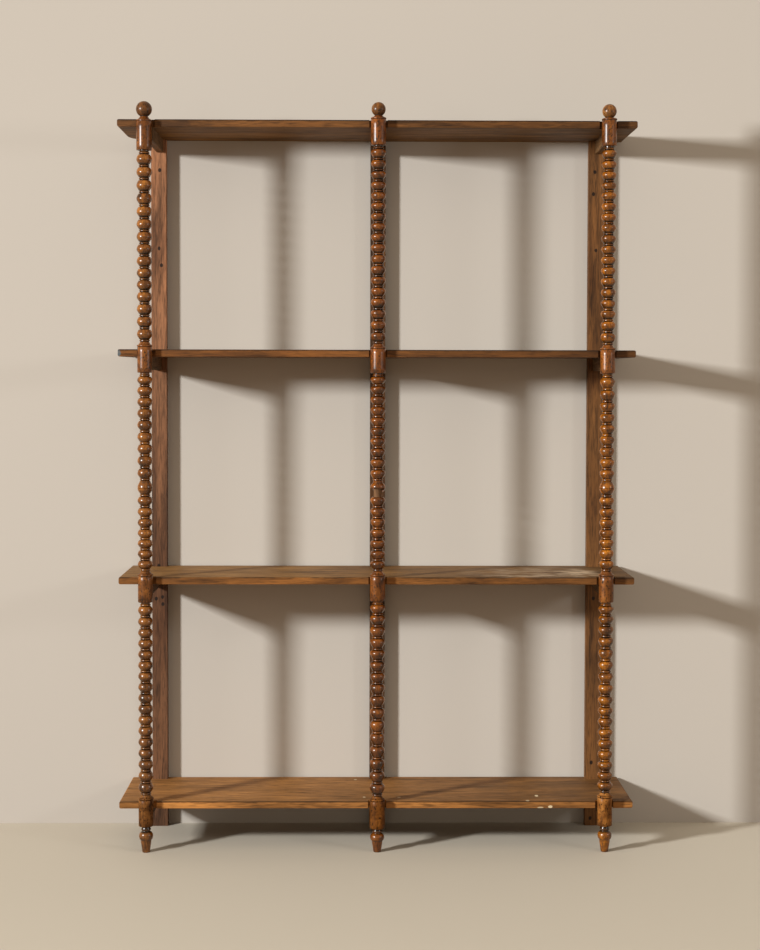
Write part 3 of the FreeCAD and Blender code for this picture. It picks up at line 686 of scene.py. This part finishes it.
# radius and height in millimetres from the floor to the plain length, stretched to each foot
footStations = [
    (9.4, 0.0), (10.5, 1.2), (10.9, 4.0), (12.2, 14.0), (14.2, 28.0), (14.9, 35.0), (15.2, 37.0),
    (17.8, 39.5), (19.4, 44.5), (19.6, 48.0), (19.0, 53.0), (16.8, 57.4), (13.6, 60.6),
    (11.0, 62.4), (10.8, 63.4), (12.0, 64.4), (13.4, 66.4), (13.4, 69.0), (12.2, 72.0),
    (11.0, 74.4), (11.0, 77.0),
]
# the two halves of the bead at the joint: how far up, and how far out from neck to bead
halfUnder = [(0, 0), (0.14, 0.24), (0.28, 0.44), (0.44, 0.68), (0.64, 0.89), (0.84, 0.99),
             (0.95, 1), (1, 0.86)]
halfOver = [(0, 0.86), (0.05, 1), (0.2, 0.97), (0.38, 0.86), (0.54, 0.66), (0.68, 0.46),
            (0.82, 0.3), (0.96, 0.2), (1, 0.02)]
halfBroken = [(0, 0.92), (0.05, 1), (0.25, 0.97), (0.42, 0.85), (0.56, 0.6), (0.68, 0.3),
              (0.8, 0.1), (1, 0.02)]


def halfBead(low, height, radius, profile):
    neck = turning["neck"]
    return [(neck + (radius - neck) * swell, low + height * share) for share, swell in profile]


# the varnish of each post's beads, plain lengths and ball
beadTone = {
    "left": {"body": srgb(153, 104, 52), "amber": srgb(204, 150, 86)},
    "centre": {"body": srgb(134, 81, 25), "amber": srgb(188, 123, 42)},
    "right": {"body": srgb(158, 103, 25), "amber": srgb(224, 158, 50)},
}
plainTone = {
    "left": {},
    "centre": {"body": srgb(124, 74, 27), "amber": srgb(166, 106, 45), "fade": (1.7, 0.1, 0.92)},
    "right": {"body": srgb(128, 80, 34), "amber": srgb(172, 115, 54), "fade": (1.7, 0.1, 1.2)},
}
ballTone = {
    "left": {"body": srgb(110, 71, 34), "amber": srgb(146, 98, 54)},
    "centre": {"body": srgb(128, 84, 38), "amber": srgb(168, 117, 60)},
    "right": {"body": srgb(148, 102, 56), "amber": srgb(194, 146, 88)},
}


# the bare wood inside the break
coreLook = {
    "body": srgb(134, 96, 62),
    "dark": 0.5,
    "light": 1.2,
    "stain": (0.7, 0.62, 0.5),
    "grain": 0.6,
    "dullness": 0.7,
    "deeper": 1 * mm,       # how far the break reaches below the ring
    "showing": 0.5 * mm,    # how far over the core's start the last bead is cut off
    "radii": (11.7 * mm, 11.5 * mm, 11.3 * mm),
    "waist": 9 * mm,        # height of the middle radius over the core's start
}


def makePosts():
    plainBoth = turning["ringHeight"] + turning["flare"]
    neck = turning["neck"]
    reelHeight = turning["reelHeight"]
    core = makePlankWood("bareCore", 2, coreLook, 5.5)
    for number, line in enumerate(lineNames):
        look = postLook[line]
        x = postX[line]
        tone = {**turnedLook, **beadTone[line]}
        bead = makeTurnedWood("beadVarnish_" + line, tone, x, 1.3 * number)
        tone = {**plainLook, **plainTone[line]}
        plain = makeTurnedWood("plainVarnish_" + line, tone, x, 2.1 + 1.9 * number)
        tone = {**ballLook, **ballTone[line]}
        knob = makeTurnedWood("ballVarnish_" + line, tone, x, 4.3 + 2.3 * number)
        tops = {level: shelfTop[level] + look["rise"][level] * mm for level in levelNames}
        lengths = {level: look["length"][level] * mm for level in levelNames}
        crown = look["crown"]

        def plainPart(level, radius, flare, endRadius):
            stations = plainStations(tops[level], lengths[level], radius, flare, endRadius)
            return openEnds(turn("plain", x, stations, plain))

        def reelPart(low):
            return openEnds(turn("reel", x, [(neck, low)] + reelStations(low), bead))

        def neckPart(low):
            return openEnds(turn("neck", x, [(neck, low), (neck, low + turning["longNeck"])], bead))

        # lower length: foot, bottom plain length, lower bay, plain length, beads to the joint
        footTop = tops["bottom"] - lengths["bottom"]
        stretch = footTop / footStations[-1][1]
        stations = [(radius * mm, height * stretch) for radius, height in footStations]
        parts = [openEnds(turn("foot", x, stations, bead), low=False)]
        parts.append(plainPart("bottom", look["plain"] * mm, turning["flare"], neck))
        low = tops["bottom"] + plainBoth
        parts.append(reelPart(low))
        low += reelHeight
        high = tops["lower"] - lengths["lower"] - turning["longNeck"]
        parts += beadRun(x, low, high, look["lower"], look["lowerBead"] * mm, crown, bead)
        parts.append(neckPart(high))
        parts.append(plainPart("lower", look["plain"] * mm, turning["flare"], neck))
        low = tops["lower"] + plainBoth
        parts.append(reelPart(low))
        halfLow = jointZ - turning["underJoint"]
        middleBead = look["middleBead"] * mm
        extras = []
        run = beadRun(x, low + reelHeight, halfLow, look["under"], middleBead, crown, bead)
        parts += run
        if line == "centre":
            # the half bead and the ring under it have broken off, all but a chip
            coreLow = halfLow - reelHeight - coreLook["deeper"]
            trimAbove(run[-1], coreLow + coreLook["showing"])
            wide, waist, narrow = coreLook["radii"]
            ends = [(wide, coreLow), (waist, coreLow + coreLook["waist"]), (narrow, jointZ)]
            extras = [turn("bareCore", x, ends, core), makeChip(x, middleBead, bead, chipLook)]
        else:
            ends = halfBead(halfLow, turning["underJoint"], middleBead, halfUnder)
            parts.append(openEnds(turn("jointHalf", x, ends, bead), high=False))
        joinPost("turnedPost_" + line + "_lower", parts, "post_" + line + "_lower", extras)

        # upper length: half bead, beads, upper plain length, upper bay, top plain length, ball
        halfHigh = jointZ + turning["overJoint"]
        half = halfBroken if line == "centre" else halfOver
        ends = halfBead(jointZ, turning["overJoint"], middleBead, half)
        parts = [openEnds(turn("jointHalf", x, ends + reelStations(halfHigh), bead), low=False)]
        low = halfHigh + reelHeight
        high = tops["upper"] - lengths["upper"] - turning["longNeck"]
        parts += beadRun(x, low, high, look["over"], middleBead, crown, bead)
        parts.append(neckPart(high))
        parts.append(plainPart("upper", look["plain"] * mm, turning["flare"], neck))
        low = tops["upper"] + plainBoth
        parts.append(reelPart(low))
        low += reelHeight
        high = tops["top"] - lengths["top"] - turning["longNeck"]
        parts += beadRun(x, low, high, look["upper"], look["upperBead"] * mm, crown, bead)
        parts.append(neckPart(high))
        ballNeck = turning["ballNeck"]
        topFlare = look["topFlare"] * mm
        parts.append(plainPart("top", look["topPlain"] * mm, topFlare, ballNeck))
        neckLow = tops["top"] + turning["ringHeight"] + topFlare
        ball = look["ball"] * mm
        middle = postTop[line] - ball
        startAngle = math.asin(ballNeck / ball)
        stations = [(ballNeck, neckLow)]
        for step in range(turning["ballSteps"] + 1):
            angle = startAngle + (turning["ballEnd"] - startAngle) * step / turning["ballSteps"]
            stations.append((ball * math.sin(angle), middle - ball * math.cos(angle)))
        parts.append(openEnds(turn("ball", x, stations, knob), high=False))
        joinPost("turnedPost_" + line + "_upper", parts, "post_" + line + "_upper")
        print("post turned:", line)


makePosts()

boardLook = {
    "bevel": 1.1 * mm,
    "cutX": 28 * mm,      # spacing of the cuts that let the board wave a little
    "cutY": 30 * mm,
    "waves": 0.16,        # size of the waves in metres
    "waveDepth": 0.5 * mm,
}


# a worn copy of a board: edges broken, faces a little uneven, never outside the board
def wearBoard(name, nodeName, material, along, look):
    source = nodes[nodeName]
    piece = bpy.data.objects.new(name, source.data.copy())
    bpy.context.scene.collection.objects.link(piece)
    piece.data.materials.clear()
    piece.data.materials.append(material)
    pickOnly(piece)
    bpy.ops.object.mode_set(mode="EDIT")
    bpy.ops.mesh.select_mode(type="VERT")
    bpy.ops.mesh.select_all(action="SELECT")
    bpy.ops.mesh.remove_doubles(threshold=0.00001)
    bpy.ops.mesh.dissolve_limited(angle_limit=math.radians(1))
    bpy.ops.object.mode_set(mode="OBJECT")
    edges = piece.modifiers.new("brokenEdges", "BEVEL")
    edges.width = look["bevel"]
    edges.segments = 3
    edges.limit_method = "ANGLE"
    edges.angle_limit = math.radians(35)
    bpy.ops.object.modifier_apply(modifier=edges.name)

    low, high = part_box(nodeName)
    bpy.ops.object.mode_set(mode="EDIT")
    for axis in (0, 1, 2):
        spacing = look["cutX"] if axis == along else look["cutY"]
        count = int((high[axis] - low[axis]) / spacing)
        normal = [0, 0, 0]
        normal[axis] = 1
        for index in range(1, count):
            spot = list(low)
            spot[axis] = low[axis] + (high[axis] - low[axis]) * index / count
            bpy.ops.mesh.select_all(action="SELECT")
            bpy.ops.mesh.bisect(plane_co=spot, plane_no=normal)
    bpy.ops.object.mode_set(mode="OBJECT")
    texture = bpy.data.textures.new(name + "Waves", "CLOUDS")
    texture.noise_scale = look["waves"]
    waves = piece.modifiers.new("waves", "DISPLACE")
    waves.texture = texture
    waves.texture_coords = "LOCAL"
    waves.mid_level = 1.0
    waves.strength = look["waveDepth"]
    bpy.ops.object.modifier_apply(modifier=waves.name)
    bpy.ops.object.shade_smooth_by_angle(angle=math.radians(30))
    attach(piece, "root")
    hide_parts(nodeName)
    print("board worn:", name)


# fade darkens the wood along its grain from one place to another, down to a share
plankFinish = {
    "dark": 0.45,
    "light": 1.35,
    "stain": (0.46, 0.38, 0.28),
    "grain": 0.85,
    "dullness": 0.6,
    "ragged": 0.4,            # how much the marks' edges break up
    "wearScale": (100, 30),   # size of the broken edges across and along the grain
    "markEdge": 0.4,          # how far in from its edge a mark is full
}
shelfLook = {
    "bottom": {"body": srgb(198, 134, 68), "top": srgb(170, 118, 62), "under": srgb(124, 82, 36),
               "fade": (-0.1, 0.55, 0.58)},
    "lower": {"body": srgb(152, 98, 44), "top": srgb(166, 122, 68), "under": srgb(124, 82, 36),
              "fade": (-0.1, 0.55, 0.6), "ragged": 1.3, "wearScale": (44, 15), "markEdge": 1.1},
    "upper": {"body": srgb(144, 91, 40), "top": srgb(150, 104, 54), "under": srgb(124, 82, 36),
              "fade": (-0.1, 0.55, 0.42)},
    "top": {"body": srgb(122, 79, 37), "top": srgb(136, 94, 48), "under": srgb(142, 98, 38),
            "fade": (-0.1, 0.55, 0.72)},
}
paleFleck = srgb(214, 196, 160)
wornWood = srgb(184, 160, 132)
bareWood = srgb(206, 182, 150)
# marks are a middle and reach in millimetres, a colour and how strongly it covers
shelfMarks = {
    "bottom": [
        ((-34, -82, 139), (6, 6, 3), paleFleck, 0.9),
        ((64, -85, 139), (8, 5, 3), paleFleck, 0.9),
        ((-59, 129, 139), (6, 6, 3), paleFleck, 0.7),
        ((453, -68, 139), (8, 14, 3), paleFleck, 1.0),
        ((422, -124, 139), (7, 10, 3), paleFleck, 0.7),
        ((457, -129, 120), (13, 8, 4), paleFleck, 0.7),
        ((486, -129, 123), (9, 8, 6), paleFleck, 1.0),
    ],
    "lower": [
        ((450, 0, 765.5), (270, 190, 7), wornWood, 0.6),
        ((390, -94, 765.5), (120, 46, 6), wornWood, 0.75),
        ((505, -90, 765.5), (90, 46, 6), wornWood, 0.75),
        ((575, -30, 765.5), (90, 130, 7), bareWood, 0.95),
    ],
    "upper": [((-716, -129, 1386), (12, 30, 14), srgb(88, 112, 120), 0.7)],
    "top": [((-560, -129, 2016), (60, 20, 30), srgb(48, 30, 16), 0.5)],
}


def inMetres(marks):
    return [(tuple(c * mm for c in spot), tuple(c * mm for c in reach), colour, share)
            for spot, reach, colour, share in marks]


# old dirt along the upper front arris of each board, in millimetres
arrisReach = (20000, 4.2, 3.6)
arrisDrop = 1.2
arrisShade = srgb(34, 20, 10)
for number, level in enumerate(levelNames):
    arris = [((0, shelfFront / mm, shelfTop[level] / mm - arrisDrop), arrisReach, arrisShade, 0.75)]
    look = {**plankFinish, **shelfLook[level]}
    marks = inMetres(shelfMarks[level] + arris)
    wood = makePlankWood("shelfWood_" + level, 0, look, 1.7 * number, marks)
    wearBoard("wornShelf_" + level, "shelf_" + level, wood, 0, boardLook)

uprightFinish = {
    **plankFinish,
    "dark": 0.42,
    "light": 1.4,
    "stain": (0.5, 0.38, 0.3),
    "ragged": 0.3,
}
uprightLook = {
    "left": {"body": srgb(176, 122, 84), "fade": (1.9, 0.8, 0.33)},
    "centre": {"body": srgb(84, 54, 26)},
    "right": {"body": srgb(116, 77, 40)},
}
# old nail heads and knots on the front faces, across and up
uprightSpots = {
    "left": [(-629, 1918), (-631, 1692), (-624.5, 1643), (-634, 768), (-642, 671), (-624, 676),
             (-623, 655)],
    "centre": [(4, 1918), (2, 768)],
    "right": [(635, 1917), (631, 1853), (638.5, 1690), (638, 672), (635, 187), (633, 22)],
}
spotReach = (6.5, 20, 8)
spotColour = srgb(9, 5, 3)
for number, line in enumerate(lineNames):
    spots = [((across, uprightFront / mm, up), spotReach, spotColour, 0.9)
             for across, up in uprightSpots[line]]
    look = {**uprightFinish, **uprightLook[line]}
    wood = makePlankWood("uprightWood_" + line, 2, look, 3.1 + number, inMetres(spots))
    dress("upright_" + line, wood)
print("uprights dressed")

bearerLook = {
    "body": srgb(110, 78, 44),
    "dark": 0.5,
    "light": 1.3,
    "stain": (0.6, 0.55, 0.5),
    "grain": 0.75,
    "dullness": 0.55,
}
bearerWood = makePlankWood("bearerWood", 1, bearerLook, 7.7)
for line in lineNames:
    for level in levelNames:
        dress("bearer_" + line + "_" + level, bearerWood)
print("bearers dressed")

stageLook = {
    "floor": srgb(196, 188, 172),
    "floorBounce": srgb(128, 104, 80),    # what the floor throws back onto the bookcase
    "floorSize": 24,
    "wall": srgb(194, 188, 178),
    "wallY": 0.1715,
    "wallSize": (24, 8),
}


def makeFloor(look):
    bpy.ops.mesh.primitive_plane_add(size=look["floorSize"], location=(0, 0, 0))
    floor = bpy.context.object
    floor.name = "stageFloor"
    material, tree, shader = startMaterial("stageFloor")
    path = tree.nodes.new("ShaderNodeLightPath")
    camera, glossy = path.outputs["Is Camera Ray"], path.outputs["Is Glossy Ray"]
    seen = calc(tree, "ADD", camera, glossy, clamp=True)
    seen = calc(tree, "ADD", seen, path.outputs["Is Transmission Ray"], clamp=True)
    shade = mix(tree, seen, look["floorBounce"], look["floor"])
    tree.links.new(shade, shader.inputs["Base Color"])
    shader.inputs["Roughness"].default_value = 0.7
    floor.data.materials.append(material)


# the wall catches shadows, but only a view from its front sees it
def makeWall(look):
    wide, high = look["wallSize"]
    bpy.ops.mesh.primitive_plane_add(size=1, location=(0, look["wallY"], high / 2),
                                     rotation=(math.pi / 2, 0, 0))
    wall = bpy.context.object
    wall.name = "stageWall"
    wall.scale = (wide, high, 1)
    material, tree, shader = startMaterial("stageWall")
    shader.inputs["Base Color"].default_value = (*look["wall"], 1)
    shader.inputs["Roughness"].default_value = 0.9
    shader.inputs["Specular IOR Level"].default_value = 0.2
    clear = tree.nodes.new("ShaderNodeBsdfTransparent")
    blend = tree.nodes.new("ShaderNodeMixShader")
    side = tree.nodes.new("ShaderNodeNewGeometry")
    tree.links.new(side.outputs["Backfacing"], blend.inputs[0])
    tree.links.new(shader.outputs[0], blend.inputs[1])
    tree.links.new(clear.outputs[0], blend.inputs[2])
    tree.links.new(blend.outputs[0], tree.nodes["Material Output"].inputs[0])
    wall.data.materials.append(material)
    wall.visible_shadow = False


# power is what falls on a surface that faces the lamp; it doesn't fall off with distance
lightLook = {
    "keyPlace": (-4.29, -3.24, 2.27),
    "keySize": 0.55,
    "keyPower": 13.7,
    "keyAim": (2.69, -2.46, 1.09),
    "fillPlace": (3.4, -2.3, 1.9),
    "fillAim": (0.1, 0.0, 1.1),
    "fillSize": 0.5,
    "fillPower": 0.9,
    "ambient": 0.54,
    "ambientColour": (1.0, 0.83, 0.65),
}


def makeLamp(name, where, aim, size, power):
    bpy.ops.object.light_add(type="AREA", location=where)
    lamp = bpy.context.object
    lamp.name = name
    lamp.rotation_euler = (Vector(aim) - Vector(where)).to_track_quat("-Z", "Y").to_euler()
    lamp.data.size = size
    lamp.data.energy = power
    lamp.data.use_nodes = True
    tree = lamp.data.node_tree
    falloff = tree.nodes.new("ShaderNodeLightFalloff")
    falloff.inputs["Strength"].default_value = 1.0
    tree.links.new(falloff.outputs["Constant"], tree.nodes["Emission"].inputs["Strength"])


def makeLight(look):
    makeLamp("keyLight", look["keyPlace"], look["keyAim"], look["keySize"], look["keyPower"])
    makeLamp("fillLight", look["fillPlace"], look["fillAim"], look["fillSize"], look["fillPower"])
    world = bpy.context.scene.world or bpy.data.worlds.new("studio")
    bpy.context.scene.world = world
    world.use_nodes = True
    tree = world.node_tree
    tree.nodes.clear()
    output = tree.nodes.new("ShaderNodeOutputWorld")
    given = tree.nodes.new("ShaderNodeBackground")
    given.inputs[0].default_value = (*look["ambientColour"], 1)
    given.inputs[1].default_value = look["ambient"]
    tree.links.new(given.outputs[0], output.inputs[0])


makeFloor(stageLook)
makeWall(stageLook)
makeLight(lightLook)
bpy.context.scene.view_settings.view_transform = "Standard"
print("stage and light set")
